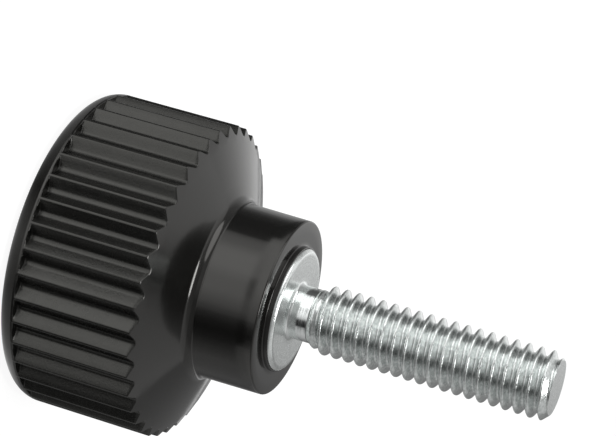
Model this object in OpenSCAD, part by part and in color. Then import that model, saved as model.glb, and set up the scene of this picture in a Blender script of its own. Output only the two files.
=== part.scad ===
// Thumb screw: a moulded knob with a ribbed grip, a dished front and a hub, on a turned steel stud.
// It stands on the rim of its dish, with the stud pointing up along +Z. Sizes are in millimetres.

/* [Grip] */
// Diameter over the crests of the ribs
grip_d = 36.2; // [33:0.2:44]
// Height of the grip, from the rim to the outer edge of the back face
grip_h = 16; // [13:0.2:26]
// Radius of the rounded outer edge of the rim
rim_round = 2.2; // [1:0.1:2.6]
// Height by which the conical back face rises from the ribs to the hub
back_rise = 3.5; // [1:0.1:5]

/* [Ribs] */
// Number of ribs round the grip
rib_count = 40; // [24:1:44]
// Depth of the grooves between the ribs
rib_depth = 0.8; // [0.4:0.1:1.2]
// Width left standing on the crest of each rib
rib_crest_w = 0.4; // [0.2:0.1:0.8]
// Width of the narrow flat at the bottom of each groove
groove_root_w = 0.2; // [0.1:0.1:0.4]

/* [Dish] */
// Diameter of the dish at its mouth
dish_d = 28.2; // [24:0.2:29]
// Diameter of the dish at its floor
floor_d = 20.6; // [12:0.2:22]
// Depth of the dish, from the rim to its floor
dish_h = 7.6; // [4:0.2:9]
// Height of the upright step round the floor
floor_step = 0.6; // [0.2:0.1:1]
// Bevel on the edge of the mouth
mouth_bevel = 0.3; // [0.1:0.1:0.5]

/* [Hub] */
// Diameter of the hub at its free end
hub_d = 20; // [17:0.2:26]
// Height of the hub above its foot on the back face
hub_h = 7.5; // [5:0.1:16]
// Moulding taper of the hub, in degrees a side
hub_taper = 0.5; // [0:0.1:2]
// Radius of the hollow corner between hub and back face
hub_fillet = 1.3; // [0.5:0.1:3]
// Radius of the rounded edge at the hub's free end
hub_round = 0.2; // [0.1:0.1:1]

/* [Insert] */
// Diameter of the collar that seats on the work
collar_d = 14; // [12:0.2:15]
// Height by which the collar stands proud of the hub
collar_proud = 1; // [0.4:0.1:2]
// Depth to which the collar is sunk in the hub
collar_sunk = 1.2; // [0.6:0.1:3]
// Bevel on the collar's edge
collar_bevel = 0.3; // [0.1:0.1:0.5]
// Height of the collar's bare edge, above the boss that closes round it
collar_lip = 0.4; // [0.3:0.1:0.6]
// Thickness of the moulded boss round the collar
boss_wall = 0.2; // [0.2:0.1:0.8]
// Diameter of the knurled shank that is moulded into the hub
shank_d = 11.6; // [9:0.2:13]
// Length of the shank below the collar
shank_l = 13; // [8:0.2:14]
// Number of grooves knurled along the shank
knurl_count = 20; // [12:1:28]
// Depth of the knurled grooves
knurl_depth = 0.5; // [0.3:0.1:0.8]
// Diameter at the bottom of the ring groove that holds the shank in
ring_d = 9.4; // [8:0.2:10]
// Width of the ring groove
ring_w = 2.4; // [1:0.2:4]

/* [Stud] */
// Diameter over the crests of the thread
stud_d = 7.75; // [7.7:0.01:7.9]
// Length of the stud, from the collar's face to the tip
stud_l = 30.4; // [14:0.2:60]
// Distance from one ridge of the thread to the next
thread_pitch = 1.411; // [1.2:0.001:1.8]
// Width of a ridge at its crest
thread_crest_w = 0.25; // [0.15:0.01:0.35]
// Width of the flat between two ridges
thread_root_w = 0.2; // [0.1:0.01:0.3]
// Diameter of the plain neck under the thread, and at the bottom of the thread
neck_d = 6.1; // [5.6:0.1:6.6]
// Length of the neck
neck_l = 2; // [1.4:0.2:6]
// Radius of the hollow corner between neck and collar
neck_fillet = 0.7; // [0.3:0.1:1]
// Diameter of the flat at the tip
tip_d = 6.2; // [5:0.1:6.8]

/* [Hidden] */
grip_r = grip_d / 2;
groove_pitch = PI * grip_d / rib_count;
groove_w = groove_pitch - rib_crest_w;
dish_r = dish_d / 2;
floor_r = floor_d / 2;
hub_r = hub_d / 2;
back_top = grip_h + back_rise;
back_slope = atan(back_rise / (grip_r - hub_r));
hub_top = back_top + hub_h;
collar_r = collar_d / 2;
collar_low = hub_top - collar_sunk;
collar_top = hub_top + collar_proud;
boss_r = collar_r + boss_wall;
boss_top = collar_top - collar_lip;
shank_r = shank_d / 2;
shank_low = collar_low - shank_l;
knurl_w = PI * shank_d / knurl_count - 0.3;
knurl_root_w = 0.1;
ring_low = shank_low + (shank_l - ring_w) / 2;
stud_r = stud_d / 2;
neck_r = neck_d / 2;
tip_r = tip_d / 2;
stud_top = collar_top + stud_l;
tip_bevel = stud_r - tip_r;
ridge_w = thread_pitch - thread_root_w;
thread_top = stud_top - tip_bevel - thread_crest_w / 2;
thread_turns = floor((thread_top - collar_top - neck_l - ridge_w / 2) / thread_pitch);
over = 1;
dip = 0.01;
round_fn = 96;
knob_colour = [0.06, 0.06, 0.065];
steel_colour = [0.78, 0.8, 0.82];

// Radius of the tapered hub at a height above its foot
function hub_radius(above) = hub_r + (hub_h - above) * tan(hub_taper);

// What is cut off to round an outer corner; the arc's centre is at [0, 0] and the corner lies towards +X +Y
module outer_round(radius) {
    difference() {
        square(radius + over);
        circle(radius, $fn = round_fn);
    }
}

// Height of the conical back face at a radius
function back_z(radius) = grip_h + (grip_r - radius) * tan(back_slope);

// What is added to fill an inner corner; the arc's centre is at [0, 0] and the corner lies towards -X -Y
module inner_fillet(radius, bite) {
    difference() {
        translate([-radius - bite, -radius - bite]) square(radius + bite);
        circle(radius, $fn = round_fn);
    }
}

// V-grooves along Z round a cylinder, evenly spaced, to be cut away
module v_grooves(count, radius, depth, mouth_w, root_w, low, high) {
    flank = (mouth_w - root_w) / 2 / depth;
    outer = radius + over / 2;
    outer_w = root_w / 2 + flank * (depth + over / 2);
    for (i = [0 : count - 1])
        rotate(360 / count * (i + 0.5))
            translate([0, 0, low])
                linear_extrude(high - low)
                    polygon([
                        [radius - depth, -root_w / 2],
                        [outer, -outer_w],
                        [outer, outer_w],
                        [radius - depth, root_w / 2],
                    ]);
}

// Half section of the moulded knob, before the ribs and the dish are cut
module knob_section() {
    edge_r = hub_radius(hub_h - hub_round);
    // centre of the arc in the corner between back face and hub; it dips a hair into both
    wall_r = hub_radius(hub_fillet / 2) - dip;
    arc_r = wall_r + hub_fillet;
    arc_z = back_z(arc_r) + hub_fillet / cos(back_slope) - dip;
    reach = hub_fillet + over / 4;
    difference() {
        union() {
            polygon([[0, 0], [grip_r, 0], [grip_r, grip_h], [hub_r, back_top], [0, back_top]]);
            polygon([
                [0, back_top - over],
                [hub_radius(-over), back_top - over],
                [hub_r, hub_top],
                [0, hub_top],
            ]);
            polygon([[0, hub_top - over], [boss_r, hub_top - over], [boss_r, boss_top], [0, boss_top]]);
            polygon([
                [wall_r - over / 4, back_z(wall_r) - over / 2],
                [arc_r - reach * sin(back_slope), arc_z - reach * cos(back_slope)],
                [arc_r, arc_z],
                [wall_r - over / 4, arc_z],
            ]);
        }
        translate([arc_r, arc_z]) circle(hub_fillet, $fn = round_fn);
        translate([grip_r - rim_round, rim_round]) mirror([0, 1]) outer_round(rim_round);
        translate([edge_r - hub_round, hub_top - hub_round]) outer_round(hub_round);
    }
}

// Half section of the dish: a tapering wall from the mouth down to an upright step round a flat floor
module dish_section() {
    polygon([
        [0, -over],
        [dish_r + mouth_bevel, -over],
        [dish_r + mouth_bevel, 0],
        [dish_r, mouth_bevel],
        [floor_r, dish_h - floor_step],
        [floor_r, dish_h],
        [0, dish_h],
    ]);
}

// The part of the insert that the moulding grips: collar, knurled shank and ring groove
module insert_root(top) {
    difference() {
        union() {
            translate([0, 0, collar_low]) cylinder(h = top - collar_low, r = collar_r, $fn = round_fn);
            translate([0, 0, shank_low]) cylinder(h = shank_l + over / 2, r = shank_r, $fn = round_fn);
        }
        v_grooves(knurl_count, shank_r, knurl_depth, knurl_w, knurl_root_w, shank_low - over, collar_low);
        translate([0, 0, ring_low])
            difference() {
                cylinder(h = ring_w, r = shank_r + over, $fn = round_fn);
                translate([0, 0, -over]) cylinder(h = ring_w + 2 * over, d = ring_d, $fn = round_fn);
            }
    }
}

// Half section of one ridge of the thread, with the middle of its foot at [0, 0]
module ridge_section(height) {
    polygon([
        [-over / 4, -ridge_w / 2],
        [0, -ridge_w / 2],
        [height, -thread_crest_w / 2],
        [height, thread_crest_w / 2],
        [0, ridge_w / 2],
        [-over / 4, ridge_w / 2],
    ]);
}

// Half section of what stands above the hub: the proud collar, the neck and the stud up to its bevelled tip
module stud_section() {
    polygon([
        [0, hub_top],
        [collar_r, hub_top],
        [collar_r, collar_top - collar_bevel],
        [collar_r - collar_bevel, collar_top],
        [neck_r, collar_top],
        [neck_r, thread_top],
        [stud_r, thread_top],
        [stud_r, stud_top - tip_bevel],
        [tip_r, stud_top],
        [0, stud_top],
    ]);
    // the lowest ridge is half as high, where the thread runs out
    for (turn = [0 : thread_turns])
        translate([neck_r, thread_top - turn * thread_pitch])
            ridge_section(turn < thread_turns ? stud_r - neck_r : (stud_r - neck_r) / 2);
    translate([neck_r + neck_fillet, collar_top + neck_fillet])
        inner_fillet(neck_fillet, over / 4);
}

module knob() {
    color(knob_colour)
        difference() {
            rotate_extrude($fn = round_fn) knob_section();
            rotate_extrude($fn = round_fn) dish_section();
            v_grooves(rib_count, grip_r, rib_depth, groove_w, groove_root_w, rim_round, grip_h + over);
            insert_root(collar_top + over);
        }
}

module threaded_insert() {
    color(steel_colour)
        union() {
            insert_root(hub_top);
            rotate_extrude($fn = round_fn) stud_section();
        }
}

knob();
threaded_insert();
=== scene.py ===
import math
import bmesh
import bpy
from mathutils import Matrix, Vector


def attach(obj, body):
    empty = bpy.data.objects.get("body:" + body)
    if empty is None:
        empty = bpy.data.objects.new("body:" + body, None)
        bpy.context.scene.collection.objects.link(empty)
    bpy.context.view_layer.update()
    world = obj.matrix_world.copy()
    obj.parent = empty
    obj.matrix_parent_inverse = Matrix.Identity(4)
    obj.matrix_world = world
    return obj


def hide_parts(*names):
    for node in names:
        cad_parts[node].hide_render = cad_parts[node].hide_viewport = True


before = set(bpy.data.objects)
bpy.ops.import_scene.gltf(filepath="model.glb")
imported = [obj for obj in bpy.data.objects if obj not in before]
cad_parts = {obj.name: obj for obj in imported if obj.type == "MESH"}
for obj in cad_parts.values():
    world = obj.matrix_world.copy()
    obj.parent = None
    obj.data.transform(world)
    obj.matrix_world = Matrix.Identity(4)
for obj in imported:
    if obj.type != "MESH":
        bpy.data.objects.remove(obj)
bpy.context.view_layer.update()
print("frame loaded")

# lengths are in millimetres; the screw stands on the rim of its dish, with the stud along Z
mm = 0.001


def ringPoint(radius, angle, height):
    return (radius * math.cos(angle) * mm, radius * math.sin(angle) * mm, height * mm)


def arcPoints(centreR, centreZ, radius, fromDeg, toDeg, steps):
    # points of an arc in the half section, as (radius, height)
    points = []
    for i in range(steps + 1):
        a = math.radians(fromDeg + (toDeg - fromDeg) * i / steps)
        points.append((centreR + radius * math.cos(a), centreZ + radius * math.sin(a)))
    return points


def ringFaces(rings, count):
    # quads between neighbouring rings, each of count points
    faces = []
    for i in range(rings - 1):
        low, high = i * count, (i + 1) * count
        for j in range(count):
            k = (j + 1) % count
            faces.append((low + j, low + k, high + k, high + j))
    return faces


def fanFaces(middle, ring):
    # triangles that close a ring of point numbers with one point in its middle
    return [(middle, a, b) for a, b in zip(ring, ring[1:] + ring[:1])]


def addObject(name, points, faces):
    mesh = bpy.data.meshes.new(name)
    mesh.from_pydata(points, [], faces)
    mesh.update()
    piece = bpy.data.objects.new(name, mesh)
    bpy.context.scene.collection.objects.link(piece)
    return piece


def tidyMesh(piece, sharpDeg, mergeAt=0.00000005):
    work = bmesh.new()
    work.from_mesh(piece.data)
    bmesh.ops.remove_doubles(work, verts=work.verts, dist=mergeAt)
    bmesh.ops.dissolve_degenerate(work, edges=work.edges, dist=mergeAt)
    bmesh.ops.recalc_face_normals(work, faces=work.faces)
    for face in work.faces:
        face.smooth = True
    work.to_mesh(piece.data)
    work.free()
    piece.data.set_sharp_from_angle(angle=math.radians(sharpDeg))


def flankedSide(half, crestFlat, crestRound, rootFlat, rootRound, tiltDeg, depth):
    # half of a rib or ridge as (distance from the middle of its crest, drop below the crest)
    tilt = math.radians(tiltDeg)
    crestWide, rootWide = crestRound * math.sin(tilt), rootRound * math.sin(tilt)
    crestEnd, rootStart = crestFlat + crestWide, half - rootFlat - rootWide
    crestFall, rootFall = crestRound * (1 - math.cos(tilt)), rootRound * (1 - math.cos(tilt))
    flankFall = (rootStart - crestEnd) * math.tan(tilt)
    deepest = crestFall + flankFall + rootFall
    crestShares, rootShares = (0.4, 0.7, 1), (1, 0.66, 0.33, 0)
    side = [(crestFlat, 0)]
    for share in crestShares:
        x = crestWide * share
        side.append((crestFlat + x, crestRound - math.sqrt(crestRound ** 2 - x * x)))
    side.append(((crestEnd + rootStart) / 2, crestFall + flankFall / 2))
    for share in rootShares:
        x = rootWide * share
        side.append((half - rootFlat - x, deepest - rootRound + math.sqrt(rootRound ** 2 - x * x)))
    return [(x, drop * depth / deepest) for x, drop in side]


# the moulded knob; each edge is a list of (step out, step up) from the corner that it softens
knobShape = {
    "dishR": 14.1,
    "dishFloorR": 10.3,
    "dishDeep": 7.6,
    "floorRings": (8.8, 6.3, 3.3, 0.8, 0.2),    # steps in from the edge of the dish's floor
    "dishStep": 0.6,
    "stepRound": 0.15,
    "stepEdge": ((0, 0.1), (0.03, 0.02), (0.12, -0.12)),
    "wallShares": (0.2, 0.4, 0.6, 0.8, 0.94),
    "mouthBevel": 0.3,
    "mouthEdge": ((0, 0.3), (0.09, 0.17), (0.21, 0.07), (0.37, 0.015), (0.55, 0)),
    "landRing": 0.6,                            # step in from where the rim starts to round
    "rimRound": 2.2,
    "rimArc": (-90, -2),                        # stops just short of the ribs, in degrees
    "ribCount": 40,
    "crestR": 18.1,
    "ribDepth": 0.95,
    "flankTilt": 45,                            # degrees between a flank and the round outside
    "crestFlat": 0.04,                          # half the width of the flat on a crest
    "crestRound": 0.18,
    "rootFlat": 0.06,                           # half the width of the flat in a groove
    "rootRound": 0.5,
    "grooveStart": 2.2,
    "grooveLip": ((0, 0.03), (0.04, 0.11), (0.06, 0.2)),        # (step up, depth cut so far)
    "grooveFoot": ((0.07, 0.12), (0.11, 0.03), (0.2, 0)),       # (step up, depth still to cut)
    "grooveClear": 0.24,
    "ribShares": (0.25, 0.5, 0.75, 0.985),
    "ribEnds": ((0, 0.05), (0.05, 0), (0.15, 0)),               # (step in, step under the back face)
    "gripTop": 16.0,                            # height of the back face's outer edge
    "backRises": (0.456, 0.392),                # slope by the ribs, and within backTurn
    "backTurn": 17.0,
    "backFoot": 0.35,                           # step in from the bottom of the grooves
    "backRings": (16.4, 15.6, 14.6, 13.4, 12.2),
    "hubR": 10.0,
    "hubTop": 27.0,
    "hubTaper": 0.5,
    "hubFillet": 1.3,
    "hubShares": (0.33, 0.66),
    "hubRound": 0.2,
    "hubRings": (8.6, 7.7),
    "bossR": 7.2,
    "bossTop": 27.6,
    "bossFillet": 0.14,
    "bossEdge": ((0, -0.08), (-0.03, -0.02), (-0.08, 0)),
    "holeR": 7.03,
    "holeFloor": 25.78,
    "holeEdge": ((0.03, 0), (0, -0.03)),
    "shankR": 5.84,
    "shankFloor": 12.76,
    "arcSteps": {"step": 4, "rim": 16, "hubFoot": 12, "hubEdge": 5, "bossFoot": 4},
    "sharpDeg": 34,
}


def knobColumns(shape):
    # one (angle, drop below the crests) for each column round the knob
    half = math.pi * shape["crestR"] / shape["ribCount"]
    side = flankedSide(half, shape["crestFlat"], shape["crestRound"], shape["rootFlat"],
                       shape["rootRound"], shape["flankTilt"], shape["ribDepth"])
    across = [(-x, drop) for x, drop in reversed(side)] + side + [(half, shape["ribDepth"])]
    pitch = 2 * math.pi / shape["ribCount"]
    columns = []
    for rib in range(shape["ribCount"]):
        for x, drop in across:
            columns.append((rib * pitch + x / shape["crestR"], drop))
    return columns


def dishSection(shape):
    # half section of the dish and the rim, from the dish's floor out to the foot of the ribs
    floorR, floorZ = shape["dishFloorR"], shape["dishDeep"]
    mouthR, bevel = shape["dishR"], shape["mouthBevel"]
    wallZ = floorZ - shape["dishStep"]
    points = [(floorR - inward, floorZ) for inward in shape["floorRings"]]
    corner = shape["stepRound"]
    points += arcPoints(floorR - corner, floorZ - corner, corner, 90, 0, shape["arcSteps"]["step"])
    points += [(floorR + out, wallZ + up) for out, up in shape["stepEdge"]]
    for share in shape["wallShares"]:
        points.append((floorR + (mouthR - floorR) * share, wallZ + (bevel - wallZ) * share))
    points += [(mouthR + out, up) for out, up in shape["mouthEdge"]]
    rim = shape["rimRound"]
    landR = shape["crestR"] - rim
    points.append((landR - shape["landRing"], 0))
    points += arcPoints(landR, rim, rim, *shape["rimArc"], shape["arcSteps"]["rim"])
    return points


def backHeight(shape, r):
    # height of the back face, which is a cone in two slopes
    outerRise, innerRise = shape["backRises"]
    turn = shape["backTurn"]
    return shape["gripTop"] + (shape["crestR"] - max(r, turn)) * outerRise + max(0, turn - r) * innerRise


def ribRings(shape, columns):
    crestR, start = shape["crestR"], shape["grooveStart"]
    length = shape["gripTop"] - start
    rings = []
    # the wall that closes each groove at the rim is rounded at its top and at its foot
    for up, cut in shape["grooveLip"]:
        rings.append([(crestR - min(cut, drop), start + up) for angle, drop in columns])
    lipCut = shape["grooveLip"][-1][1]
    for up, left in shape["grooveFoot"]:
        cuts = [max(drop - left, min(lipCut, drop)) for angle, drop in columns]
        rings.append([(crestR - cut, start + up) for cut in cuts])
    rings.append([(crestR - drop, start + shape["grooveClear"]) for angle, drop in columns])
    for share in shape["ribShares"]:
        rings.append([(crestR - drop, start + length * share) for angle, drop in columns])
    # the back face runs out over the ribs, which end on it
    for inward, under in shape["ribEnds"]:
        radii = [crestR - drop - inward for angle, drop in columns]
        rings.append([(r, backHeight(shape, r) - under) for r in radii])
    return rings


def backSection(shape):
    # half section of the back face inside the ribs
    footR = shape["crestR"] - shape["ribDepth"] - shape["backFoot"]
    return [(r, backHeight(shape, r)) for r in (footR, *shape["backRings"])]


def hubSection(shape):
    # half section of the hub, with the hollow corner at its foot
    hubR, hubTop = shape["hubR"], shape["hubTop"]
    fillet, edge = shape["hubFillet"], shape["hubRound"]
    taper = math.tan(math.radians(shape["hubTaper"]))
    slope = math.atan(shape["backRises"][1])
    footR = hubR + (hubTop - backHeight(shape, hubR) - fillet / 2) * taper
    footZ = backHeight(shape, footR + fillet) + fillet / math.cos(slope)
    slopeDeg = math.degrees(slope)
    points = arcPoints(footR + fillet, footZ, fillet, 270 - slopeDeg, 180, shape["arcSteps"]["hubFoot"])
    edgeR = hubR + edge * taper
    for share in shape["hubShares"]:
        points.append((footR + (edgeR - footR) * share, footZ + (hubTop - edge - footZ) * share))
    points += arcPoints(edgeR - edge, hubTop - edge, edge, 0, 90, shape["arcSteps"]["hubEdge"])
    points += [(r, hubTop) for r in shape["hubRings"]]
    return points


def bossSection(shape):
    # half section of the boss round the collar, and of the hole that the insert sits in
    bossR, bossTop, foot = shape["bossR"], shape["bossTop"], shape["bossFillet"]
    holeR, shankR, holeFloor = shape["holeR"], shape["shankR"], shape["holeFloor"]
    points = arcPoints(bossR + foot, shape["hubTop"] + foot, foot, 270, 180, shape["arcSteps"]["bossFoot"])
    points += [(bossR + out, bossTop + up) for out, up in shape["bossEdge"]]
    points += [(holeR + out, bossTop + up) for out, up in shape["holeEdge"]]
    points += [(holeR, holeFloor), (shankR, holeFloor), (shankR, shape["shankFloor"])]
    return points


def plainRings(section, columns):
    return [[point] * len(columns) for point in section]


def buildKnob(shape):
    columns = knobColumns(shape)
    rings = plainRings(dishSection(shape), columns)
    rings += ribRings(shape, columns)
    rings += plainRings(backSection(shape) + hubSection(shape) + bossSection(shape), columns)
    points = []
    for ring in rings:
        for (angle, drop), (r, z) in zip(columns, ring):
            points.append(ringPoint(r, angle, z))
    count, ringPoints = len(columns), len(points)
    points.append((0, 0, shape["dishDeep"] * mm))
    points.append((0, 0, shape["shankFloor"] * mm))
    faces = ringFaces(len(rings), count)
    faces += fanFaces(ringPoints, list(reversed(range(count))))
    faces += fanFaces(ringPoints + 1, list(range(ringPoints - count, ringPoints)))
    piece = addObject("knobBody", points, faces)
    tidyMesh(piece, shape["sharpDeg"])
    return piece


knob = buildKnob(knobShape)
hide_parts("knob")
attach(knob, "root")
print("knob built,", len(knob.data.polygons), "faces")

# the turned insert with its rolled thread
insertShape = {
    "columns": 112,             # points round each ring
    "shankR": 5.8,
    "shankLow": 12.8,
    "footBevel": 0.25,
    "ringR": 4.7,
    "ringLow": 18.1,
    "ringHigh": 20.5,
    "collarR": 7.0,
    "collarLow": 25.8,
    "collarTop": 28.0,
    "collarEdge": ((0, -0.33), (-0.03, -0.27), (-0.26, -0.03), (-0.32, 0)),     # steps (out, up)
    "collarRings": (6.3, 5.8, 5.2, 4.6, 4.1),
    "neckR": 3.05,
    "neckFillet": 0.4,
    "filletSteps": 9,
    "neckRing": 0.06,           # step from either end of the neck to the ring that keeps it straight
    "pitch": 1.4111,
    "crestR": 3.875,
    "rootR": 3.03,
    "crestRound": 0.173,
    "rootRound": 0.203,
    "flankTilt": 60,            # degrees between a flank and the line along the stud
    "rootAt": 0.689,            # height of a groove's bottom on +X, less whole pitches
    "threadStart": 30.3,        # heights between which the thread rises out of the neck
    "threadFull": 31.9,
    "sparePitches": (1, 2),     # laid below and above the thread, and cut off by its ends
    "tipTop": 58.4,
    "tipR": 3.1,
    "sharpDeg": 36,
}


def threadSection(shape):
    # half of the thread as (distance from the bottom of its groove, height above it)
    half, depth = shape["pitch"] / 2, shape["crestR"] - shape["rootR"]
    side = flankedSide(half, 0, shape["crestRound"], 0, shape["rootRound"], shape["flankTilt"], depth)
    return [(half - x, depth - drop) for x, drop in reversed(side)]


def threadRadius(shape, section, z, turn):
    pitch = shape["pitch"]
    place = ((z - shape["rootAt"]) / pitch - turn) % 1 * pitch
    place = min(place, pitch - place)
    high = section[-1][1]
    for (x0, h0), (x1, h1) in zip(section, section[1:]):
        if place <= x1:
            high = h0 + (h1 - h0) * (place - x0) / (x1 - x0)
            break
    # the thread grows over about one turn
    grown = (z - shape["threadStart"]) / (shape["threadFull"] - shape["threadStart"])
    grown = max(0, min(1, grown))
    grown = grown * grown * (3 - 2 * grown)
    base = shape["neckR"] + (shape["rootR"] - shape["neckR"]) * grown
    tipBevel = shape["tipR"] + shape["tipTop"] - z
    return min(base + high * grown, tipBevel)


def turnedSection(shape):
    # half section from the foot of the shank up to the neck's end
    low, top, bevel = shape["shankLow"], shape["collarTop"], shape["footBevel"]
    shankR, ringR, collarR, neckR = shape["shankR"], shape["ringR"], shape["collarR"], shape["neckR"]
    points = [(shankR - bevel, low), (shankR, low + bevel), (shankR, shape["ringLow"])]
    points += [(ringR, shape["ringLow"]), (ringR, shape["ringHigh"]), (shankR, shape["ringHigh"])]
    points += [(shankR, shape["collarLow"]), (collarR, shape["collarLow"])]
    points += [(collarR + out, top + up) for out, up in shape["collarEdge"]]
    points += [(r, top) for r in shape["collarRings"]]
    fillet, near, end = shape["neckFillet"], shape["neckRing"], shape["threadStart"]
    points += arcPoints(neckR + fillet, top + fillet, fillet, 270, 180, shape["filletSteps"])
    points += [(neckR, z) for z in (top + fillet + near, end - near, end)]
    return points


def addThread(shape, points, faces):
    # rows follow the helix, and a column's rows shift by one pitch after a full turn
    count, pitch = shape["columns"], shape["pitch"]
    low, high = shape["threadStart"], shape["tipTop"]
    section = threadSection(shape)
    steps = [x for x, h in section] + [pitch - x for x, h in reversed(section[1:-1])]
    perPitch = len(steps)
    below, above = shape["sparePitches"]
    firstPitch = math.floor((low - shape["rootAt"]) / pitch) - below
    rows = (math.ceil((high - low) / pitch) + below + above) * perPitch
    perColumn = rows + perPitch
    start = len(points)
    heights = []
    for j in range(count):
        turn = j / count
        column = []
        for k in range(perColumn):
            z = shape["rootAt"] + pitch * (firstPitch + k // perPitch + turn) + steps[k % perPitch]
            z = max(low, min(high, z))
            column.append(z)
            points.append(ringPoint(threadRadius(shape, section, z, turn), 2 * math.pi * turn, z))
        heights.append(column)
    for j in range(count):
        nextColumn, shift = (j + 1, 0) if j + 1 < count else (0, perPitch)
        for k in range(rows - 1):
            corners = [(j, k), (nextColumn, k + shift), (nextColumn, k + shift + 1), (j, k + 1)]
            levels = [heights[c][r] for c, r in corners]
            if max(levels) == low or min(levels) == high:
                continue
            faces.append([start + c * perColumn + r for c, r in corners])
    points.append((0, 0, high * mm))
    tipRing = [start + (j + 1) * perColumn - 1 for j in range(count)]
    faces += fanFaces(len(points) - 1, tipRing)


def buildInsert(shape):
    count = shape["columns"]
    section = turnedSection(shape)
    points = []
    for r, z in section:
        for j in range(count):
            points.append(ringPoint(r, 2 * math.pi * j / count, z))
    faces = ringFaces(len(section), count)
    points.append((0, 0, shape["shankLow"] * mm))
    faces += fanFaces(len(points) - 1, list(reversed(range(count))))
    addThread(shape, points, faces)
    piece = addObject("threadedStud", points, faces)
    tidyMesh(piece, shape["sharpDeg"])
    return piece


stud = buildInsert(insertShape)
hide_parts("threaded_insert")
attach(stud, "root")
print("stud built,", len(stud.data.polygons), "faces")

# materials: a noise is (scale, detail, roughness), and a bump is (strength, depth in metres)
noiseSpan = (0.3, 0.7)      # nearly all of a noise's values lie in here


def newMaterial(name):
    material = bpy.data.materials.new(name)
    material.use_nodes = True
    nodes, links = material.node_tree.nodes, material.node_tree.links
    return material, nodes, links, nodes["Principled BSDF"]


def emptyTree(owner):
    owner.use_nodes = True
    nodes, links = owner.node_tree.nodes, owner.node_tree.links
    nodes.clear()
    return nodes, links


def addNode(nodes, kind, **settings):
    node = nodes.new(kind)
    for key, value in settings.items():
        setattr(node, key, value)
    return node


def noiseNode(nodes, links, vector, noise):
    node = addNode(nodes, "ShaderNodeTexNoise")
    for socket, value in zip(("Scale", "Detail", "Roughness"), noise):
        node.inputs[socket].default_value = value
    links.new(vector, node.inputs["Vector"])
    return node.outputs["Fac"]


def rangeNode(nodes, links, source, low, high, fromLow=0, fromHigh=1):
    node = addNode(nodes, "ShaderNodeMapRange")
    node.inputs["From Min"].default_value = fromLow
    node.inputs["From Max"].default_value = fromHigh
    node.inputs["To Min"].default_value = low
    node.inputs["To Max"].default_value = high
    links.new(source, node.inputs["Value"])
    return node.outputs["Result"]


def bumpNode(nodes, links, height, strength, distance, normal=None):
    bump = addNode(nodes, "ShaderNodeBump")
    bump.inputs["Strength"].default_value = strength
    bump.inputs["Distance"].default_value = distance
    links.new(height, bump.inputs["Height"])
    if normal is not None:
        links.new(normal, bump.inputs["Normal"])
    return bump.outputs["Normal"]


def cloudyTint(nodes, links, shader, cloud, one, other):
    tint = addNode(nodes, "ShaderNodeMix", data_type="RGBA")
    tint.inputs["A"].default_value = one + (1,)
    tint.inputs["B"].default_value = other + (1,)
    links.new(cloud, tint.inputs["Factor"])
    links.new(tint.outputs["Result"], shader.inputs["Base Color"])


def cloudyRough(nodes, links, shader, cloud, rough):
    links.new(rangeNode(nodes, links, cloud, *rough, *noiseSpan), shader.inputs["Roughness"])


plasticLook = {
    "dark": (0.0026, 0.0025, 0.0023),
    "light": (0.0046, 0.0045, 0.0041),
    "ior": 1.6,
    "flow": (160, 4, 0.55),
    "swell": (220, 2, 0.55),
    "swellBump": (0.35, 0.00002),
    "gloss": {
        "tint": (1, 0.985, 0.95),
        "rough": (0.09, 0.15),
        "cloud": (260, 5, 0.55),
        "grain": (1500, 3, 0.55),
        "grainBump": (0.12, 0.000006),
    },
    "ribs": {
        "tint": (1, 0.995, 0.94),
        "rough": (0.22, 0.3),
        "cloud": (900, 5, 0.55),
        "grain": (4200, 4, 0.65),
        "grainBump": (0.8, 0.00003),
    },
}


def mouldedPlastic(name, look, finish):
    material, nodes, links, shader = newMaterial(name)
    shader.inputs["IOR"].default_value = look["ior"]
    shader.inputs["Specular Tint"].default_value = finish["tint"] + (1,)
    place = addNode(nodes, "ShaderNodeTexCoord").outputs["Object"]
    flow = noiseNode(nodes, links, place, look["flow"])
    cloudyTint(nodes, links, shader, flow, look["dark"], look["light"])
    cloud = noiseNode(nodes, links, place, finish["cloud"])
    cloudyRough(nodes, links, shader, cloud, finish["rough"])
    swell = noiseNode(nodes, links, place, look["swell"])
    normal = bumpNode(nodes, links, swell, *look["swellBump"])
    grain = noiseNode(nodes, links, place, finish["grain"])
    normal = bumpNode(nodes, links, grain, *finish["grainBump"], normal)
    links.new(normal, shader.inputs["Normal"])
    return material


steelLook = {
    "spots": (2600, 4, 0.6),
    "spotDepth": 0.00002,
    "cloud": (1400, 4, 0.55),
    "collar": {
        "dull": (0.74, 0.765, 0.755),
        "bright": (0.9, 0.93, 0.92),
        "rough": (0.17, 0.3),
        "lines": (5200, 4, 0.7),
        "lineBump": (1, 0.000012),
        "spotBump": 0.06,
    },
    "neck": {
        "dull": (0.8, 0.825, 0.82),
        "bright": (0.92, 0.95, 0.94),
        "rough": (0.04, 0.08),
        "lines": (4200, 4, 0.7),
        "lineBump": (1, 0.000006),
        "spotBump": 0.02,
    },
    "thread": {
        "dull": (0.54, 0.565, 0.556),
        "bright": (0.83, 0.86, 0.85),
        "rough": (0.1, 0.2),
        "lines": (6500, 4, 0.7),
        "lineBump": (1, 0.000028),
        "spotBump": 0.25,
    },
}


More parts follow.
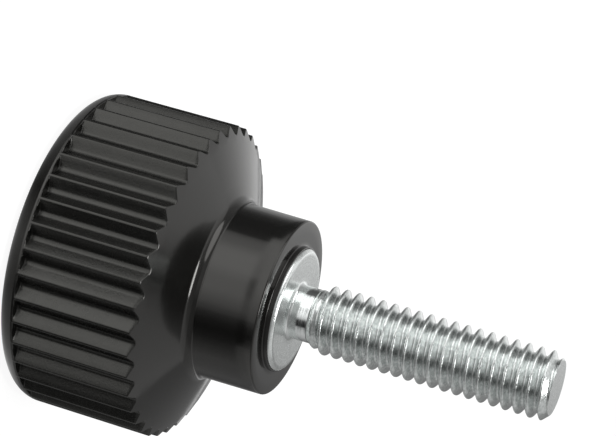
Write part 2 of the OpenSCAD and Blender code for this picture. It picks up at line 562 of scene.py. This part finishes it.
def turnedPlace(nodes, links, place):
    # a place that varies only with the radius and the height, for the turning lines
    parts = addNode(nodes, "ShaderNodeSeparateXYZ")
    links.new(place, parts.inputs["Vector"])
    flat = addNode(nodes, "ShaderNodeCombineXYZ")
    links.new(parts.outputs["X"], flat.inputs["X"])
    links.new(parts.outputs["Y"], flat.inputs["Y"])
    length = addNode(nodes, "ShaderNodeVectorMath", operation="LENGTH")
    links.new(flat.outputs["Vector"], length.inputs[0])
    turned = addNode(nodes, "ShaderNodeCombineXYZ")
    links.new(length.outputs["Value"], turned.inputs["X"])
    links.new(parts.outputs["Z"], turned.inputs["Z"])
    return turned.outputs["Vector"]


def platedSteel(name, look, finish):
    material, nodes, links, shader = newMaterial(name)
    shader.inputs["Metallic"].default_value = 1
    place = addNode(nodes, "ShaderNodeTexCoord").outputs["Object"]
    lines = noiseNode(nodes, links, turnedPlace(nodes, links, place), finish["lines"])
    spots = noiseNode(nodes, links, place, look["spots"])
    spread = rangeNode(nodes, links, spots, 0, 1, *noiseSpan)
    cloudyTint(nodes, links, shader, spread, finish["dull"], finish["bright"])
    cloud = noiseNode(nodes, links, place, look["cloud"])
    cloudyRough(nodes, links, shader, cloud, finish["rough"])
    normal = bumpNode(nodes, links, lines, *finish["lineBump"])
    normal = bumpNode(nodes, links, spots, finish["spotBump"], look["spotDepth"], normal)
    links.new(normal, shader.inputs["Normal"])
    return material


# where one finish gives way to the next, as steps in millimetres from an edge of the shape
finishEdges = {
    "ribsAbove": 0.1,           # above the start of the grooves
    "ribsInward": 0.05,         # in from the bottom of the grooves
    "ribsTilt": 0.5,            # the upward part of a normal, where the back face takes over
    "neckAbove": 0.05,          # above the collar
    "threadAbove": 0.2,         # above the thread's start
    "tipBelow": 0.01,
}


def dressKnob(piece, shape, edges):
    piece.data.materials.append(mouldedPlastic("knobGloss", plasticLook, plasticLook["gloss"]))
    piece.data.materials.append(mouldedPlastic("knobRibs", plasticLook, plasticLook["ribs"]))
    low = (shape["grooveStart"] + edges["ribsAbove"]) * mm
    inner = (shape["crestR"] - shape["ribDepth"] - edges["ribsInward"]) * mm
    for face in piece.data.polygons:
        x, y, z = face.center
        if z > low and math.hypot(x, y) > inner and face.normal.z < edges["ribsTilt"]:
            face.material_index = 1


def dressStud(piece, shape, edges):
    for part in ("collar", "neck", "thread"):
        piece.data.materials.append(platedSteel("plated" + part.capitalize(), steelLook, steelLook[part]))
    neckLow = (shape["collarTop"] + edges["neckAbove"]) * mm
    threadLow = (shape["threadStart"] + edges["threadAbove"]) * mm
    tip = (shape["tipTop"] - edges["tipBelow"]) * mm
    for face in piece.data.polygons:
        if neckLow < face.center.z < threadLow:
            face.material_index = 1
        elif threadLow <= face.center.z < tip:
            face.material_index = 2


dressKnob(knob, knobShape, finishEdges)
dressStud(stud, insertShape, finishEdges)
print("materials made")

# floor, cards, lamps and camera
roomSet = {
    "floorHalf": 3.0,           # metres from the middle to each side
    "floorPale": 0.8,           # what the object and the lamps see
    "floorSeen": 0.16,          # the part of the seen floor that takes shadows
    "floorGlow": 0.91,          # the part that doesn't
    "airLight": 0.55,
    "airSeen": 1,
}


def seenDirectly(nodes, links):
    # 1 for rays that the camera sends straight, off a gloss or through glass, and 0 for the others
    path = addNode(nodes, "ShaderNodeLightPath")
    seen = path.outputs["Is Camera Ray"]
    for kind in ("Is Glossy Ray", "Is Transmission Ray"):
        either = addNode(nodes, "ShaderNodeMath", operation="MAXIMUM")
        links.new(seen, either.inputs[0])
        links.new(path.outputs[kind], either.inputs[1])
        seen = either.outputs[0]
    return seen


def floorPaper(settings):
    material = bpy.data.materials.new("floorPaper")
    nodes, links = emptyTree(material)
    seen = seenDirectly(nodes, links)
    paper = addNode(nodes, "ShaderNodeBsdfDiffuse")
    shade = rangeNode(nodes, links, seen, settings["floorPale"], settings["floorSeen"])
    links.new(shade, paper.inputs["Color"])
    glow = addNode(nodes, "ShaderNodeEmission")
    strength = rangeNode(nodes, links, seen, 0, settings["floorGlow"])
    links.new(strength, glow.inputs["Strength"])
    both = addNode(nodes, "ShaderNodeAddShader")
    links.new(paper.outputs["BSDF"], both.inputs[0])
    links.new(glow.outputs["Emission"], both.inputs[1])
    out = addNode(nodes, "ShaderNodeOutputMaterial")
    links.new(both.outputs["Shader"], out.inputs["Surface"])
    return material


def buildFloor(settings):
    half = settings["floorHalf"]
    points = [(-half, -half, 0), (half, -half, 0), (half, half, 0), (-half, half, 0)]
    floor = addObject("paleFloor", points, [(0, 1, 2, 3)])
    floor.data.materials.append(floorPaper(settings))
    # reflections pass through the floor to the glowing cards below it, which paint what they show
    floor.visible_glossy = False


def buildWorld(settings):
    world = bpy.data.worlds.new("softRoom")
    bpy.context.scene.world = world
    nodes, links = emptyTree(world)
    seen = seenDirectly(nodes, links)
    back = addNode(nodes, "ShaderNodeBackground")
    strength = rangeNode(nodes, links, seen, settings["airLight"], settings["airSeen"])
    links.new(strength, back.inputs["Strength"])
    out = addNode(nodes, "ShaderNodeOutputWorld")
    links.new(back.outputs["Background"], out.inputs["Surface"])


# rings of glowing card that only gloss sees, which paint the highlights and dark bands in the reflections:
# each runs between two edges, given as (radius, height), and its levels are (degrees round the stud from
# +X, brightness)
cardRings = {
    "lowCards": {
        "edges": ((2500, -2500), (2500, 0)),
        "levels": [
            (2, 0.42), (18, 0.35), (37, 0.28), (54, 0.12), (68, 0.2), (85, 0.42), (92, 0.44),
            (108, 0.55), (121, 0.5), (126, 0.3), (138, 0.12), (154, 0.08), (170, 0.1), (184, 0.15),
            (189, 0.85), (202, 1.15), (212, 1.6), (218, 1.7), (234, 1.7), (250, 1.35), (266, 1.3),
            (282, 0.85), (298, 0.22), (306, 0.1), (316, 0.05), (330, 0.1), (346, 0.28),
        ],
    },
    "underCards": {
        "edges": ((1, -2500), (2500, -2500)),
        "levels": [(0, 0.4), (84, 0.25), (180, 0.4), (264, 0.5)],
    },
    "studCards": {
        "edges": ((136, -0.2), (260, -0.2)),
        "levels": [
            (0, 0.68), (60, 0.65), (84, 0.8), (110, 0.6), (124, 0.35), (138, 0.12), (152, 0.15),
            (165, 0.5), (186, 1.2), (202, 1.5), (250, 1.5), (270, 1.1), (290, 0.7), (301, 0.2),
            (312, 0.06), (322, 0.25), (334, 0.65),
        ],
    },
    "neckCards": {
        "edges": ((104, -0.2), (136, -0.2)),
        "levels": [
            (8, 0.45), (20, 0.38), (33, 0.25), (57, 0.2), (100, 0.2), (127, 0.12), (151, 0.07),
            (177, 0.12), (185, 1.2), (190, 1.35), (212, 1.35), (238, 1.2), (246, 0.5), (260, 0.5),
            (270, 0.68), (284, 0.6), (291, 0.3), (297, 0.02), (323, 0.01), (329, 0.4), (344, 0.5),
        ],
    },
    "skyCards": {
        "edges": ((420, 330), (90, 460)),
        "levels": [
            (0, 0.6), (50, 0.55), (63, 0.5), (72, 0.35), (78, 0.15), (84, 0.08), (90, 0.25), (97, 0.6),
            (105, 0.8), (120, 0.85), (150, 0.9), (190, 0.4), (264, 0.25), (330, 0.35),
        ],
    },
    # a dark disc under the dish: the knob's own shadow on the floor, painted for reflections
    "shadowUnderDishCards": {
        "edges": ((0.5, -0.2), (16.4, -0.2)),
        "levels": [(0, 0.1), (180, 0.1)],
    },
    # a ring round the rim, darker than the floor: the knob's own shade on the floor where it stands,
    # painted for reflections, deeper at some angles than at others
    "shadeRoundRimCards": {
        "edges": ((16.4, -0.2), (21, -0.2)),
        "levels": [
            (0, 0.3), (170, 0.3), (186, 0.35), (206, 0.45), (226, 0.35), (246, 0.12), (266, 0.5),
            (286, 0.3), (306, 0.5), (326, 0.8), (346, 0.2),
        ],
    },
    "backCards": {
        "edges": ((420, 0.5), (420, 330)),
        "levels": [
            (0, 0.45), (40, 0.35), (72, 0.22), (81, 0.3), (90, 0.76), (97, 1.08), (104, 1), (112, 0.7),
            (122, 0.6), (140, 0.35), (170, 0.3), (190, 0.4), (265, 0.45), (290, 0.2), (340, 0.25),
        ],
    },
}
cardSides = 180


def cardMaterial(name):
    material = bpy.data.materials.new(name)
    nodes, links = emptyTree(material)
    out = addNode(nodes, "ShaderNodeOutputMaterial")
    glow = addNode(nodes, "ShaderNodeEmission")
    level = addNode(nodes, "ShaderNodeAttribute", attribute_name="cardLevel")
    links.new(level.outputs["Fac"], glow.inputs["Strength"])
    links.new(glow.outputs["Emission"], out.inputs["Surface"])
    return material


def levelAt(levels, degrees):
    ring = [(levels[-1][0] - 360, levels[-1][1])] + levels + [(levels[0][0] + 360, levels[0][1])]
    for (a0, v0), (a1, v1) in zip(ring, ring[1:]):
        if a0 <= degrees <= a1:
            return v0 + (v1 - v0) * (degrees - a0) / (a1 - a0)


def buildCards(name, ring, sides):
    points, faces, brightness = [], [], []
    for j in range(sides):
        degrees = 360 * j / sides
        for r, z in ring["edges"]:
            points.append(ringPoint(r, math.radians(degrees), z))
            brightness.append(levelAt(ring["levels"], degrees))
        k = (j + 1) % sides
        faces.append((2 * j, 2 * j + 1, 2 * k + 1, 2 * k))
    cards = addObject(name, points, faces)
    attribute = cards.data.attributes.new("cardLevel", "FLOAT", "POINT")
    attribute.data.foreach_set("value", brightness)
    cards.data.materials.append(cardMaterial(name + "Card"))
    # the cards glow only in reflections, where they paint highlights and dark bands; they light nothing
    # and cast no shadow
    cards.visible_camera = False
    cards.visible_diffuse = False
    cards.visible_shadow = False
    cards.visible_transmission = False


lampSet = {
    "topLamp": {"place": (-0.05, -0.02, 0.52), "size": 0.28, "power": 1.6},
    "sideLamp": {"place": (-0.347, -0.147, 0.2), "size": 0.46, "power": 0.9},
}
lampAim = (0, 0, 0.02)


def addLamp(name, settings, aim):
    data = bpy.data.lights.new(name, "AREA")
    data.shape = "DISK"
    data.size = settings["size"]
    data.energy = settings["power"]
    lamp = bpy.data.objects.new(name, data)
    lamp.location = settings["place"]
    lamp.rotation_euler = (Vector(aim) - Vector(settings["place"])).to_track_quat("-Z", "Y").to_euler()
    lamp.visible_camera = False
    bpy.context.scene.collection.objects.link(lamp)


buildFloor(roomSet)
for name, ring in cardRings.items():
    buildCards(name, ring, cardSides)
buildWorld(roomSet)
for name, settings in lampSet.items():
    addLamp(name, settings, lampAim)
print("stage set")

# the photo shows the screw lying in space, so the camera is tilted to match
cameraSet = {
    "lens": 143.75,
    "sensor": 36,
    "shiftY": -0.0006,
    "clip": (0.01, 20),
    "place": (-26.909, -260.196, 105.467),
    "ahead": (0.060931, 0.955175, -0.289703),
    "across": (-0.255482, 0.295499, 0.920548),
}


def buildCamera(settings):
    data = bpy.data.cameras.new("viewCamera")
    data.lens = settings["lens"]
    data.sensor_width = settings["sensor"]
    data.shift_y = settings["shiftY"]
    data.clip_start, data.clip_end = settings["clip"]
    camera = bpy.data.objects.new("viewCamera", data)
    ahead = Vector(settings["ahead"]).normalized()
    across = Vector(settings["across"]).normalized()
    up = across.cross(ahead)
    turn = Matrix((across, up, -ahead)).transposed()
    camera.matrix_world = Matrix.Translation(Vector(settings["place"]) * mm) @ turn.to_4x4()
    bpy.context.scene.collection.objects.link(camera)
    bpy.context.scene.camera = camera


buildCamera(cameraSet)
bpy.context.scene.view_settings.view_transform = "Standard"
print("camera placed")
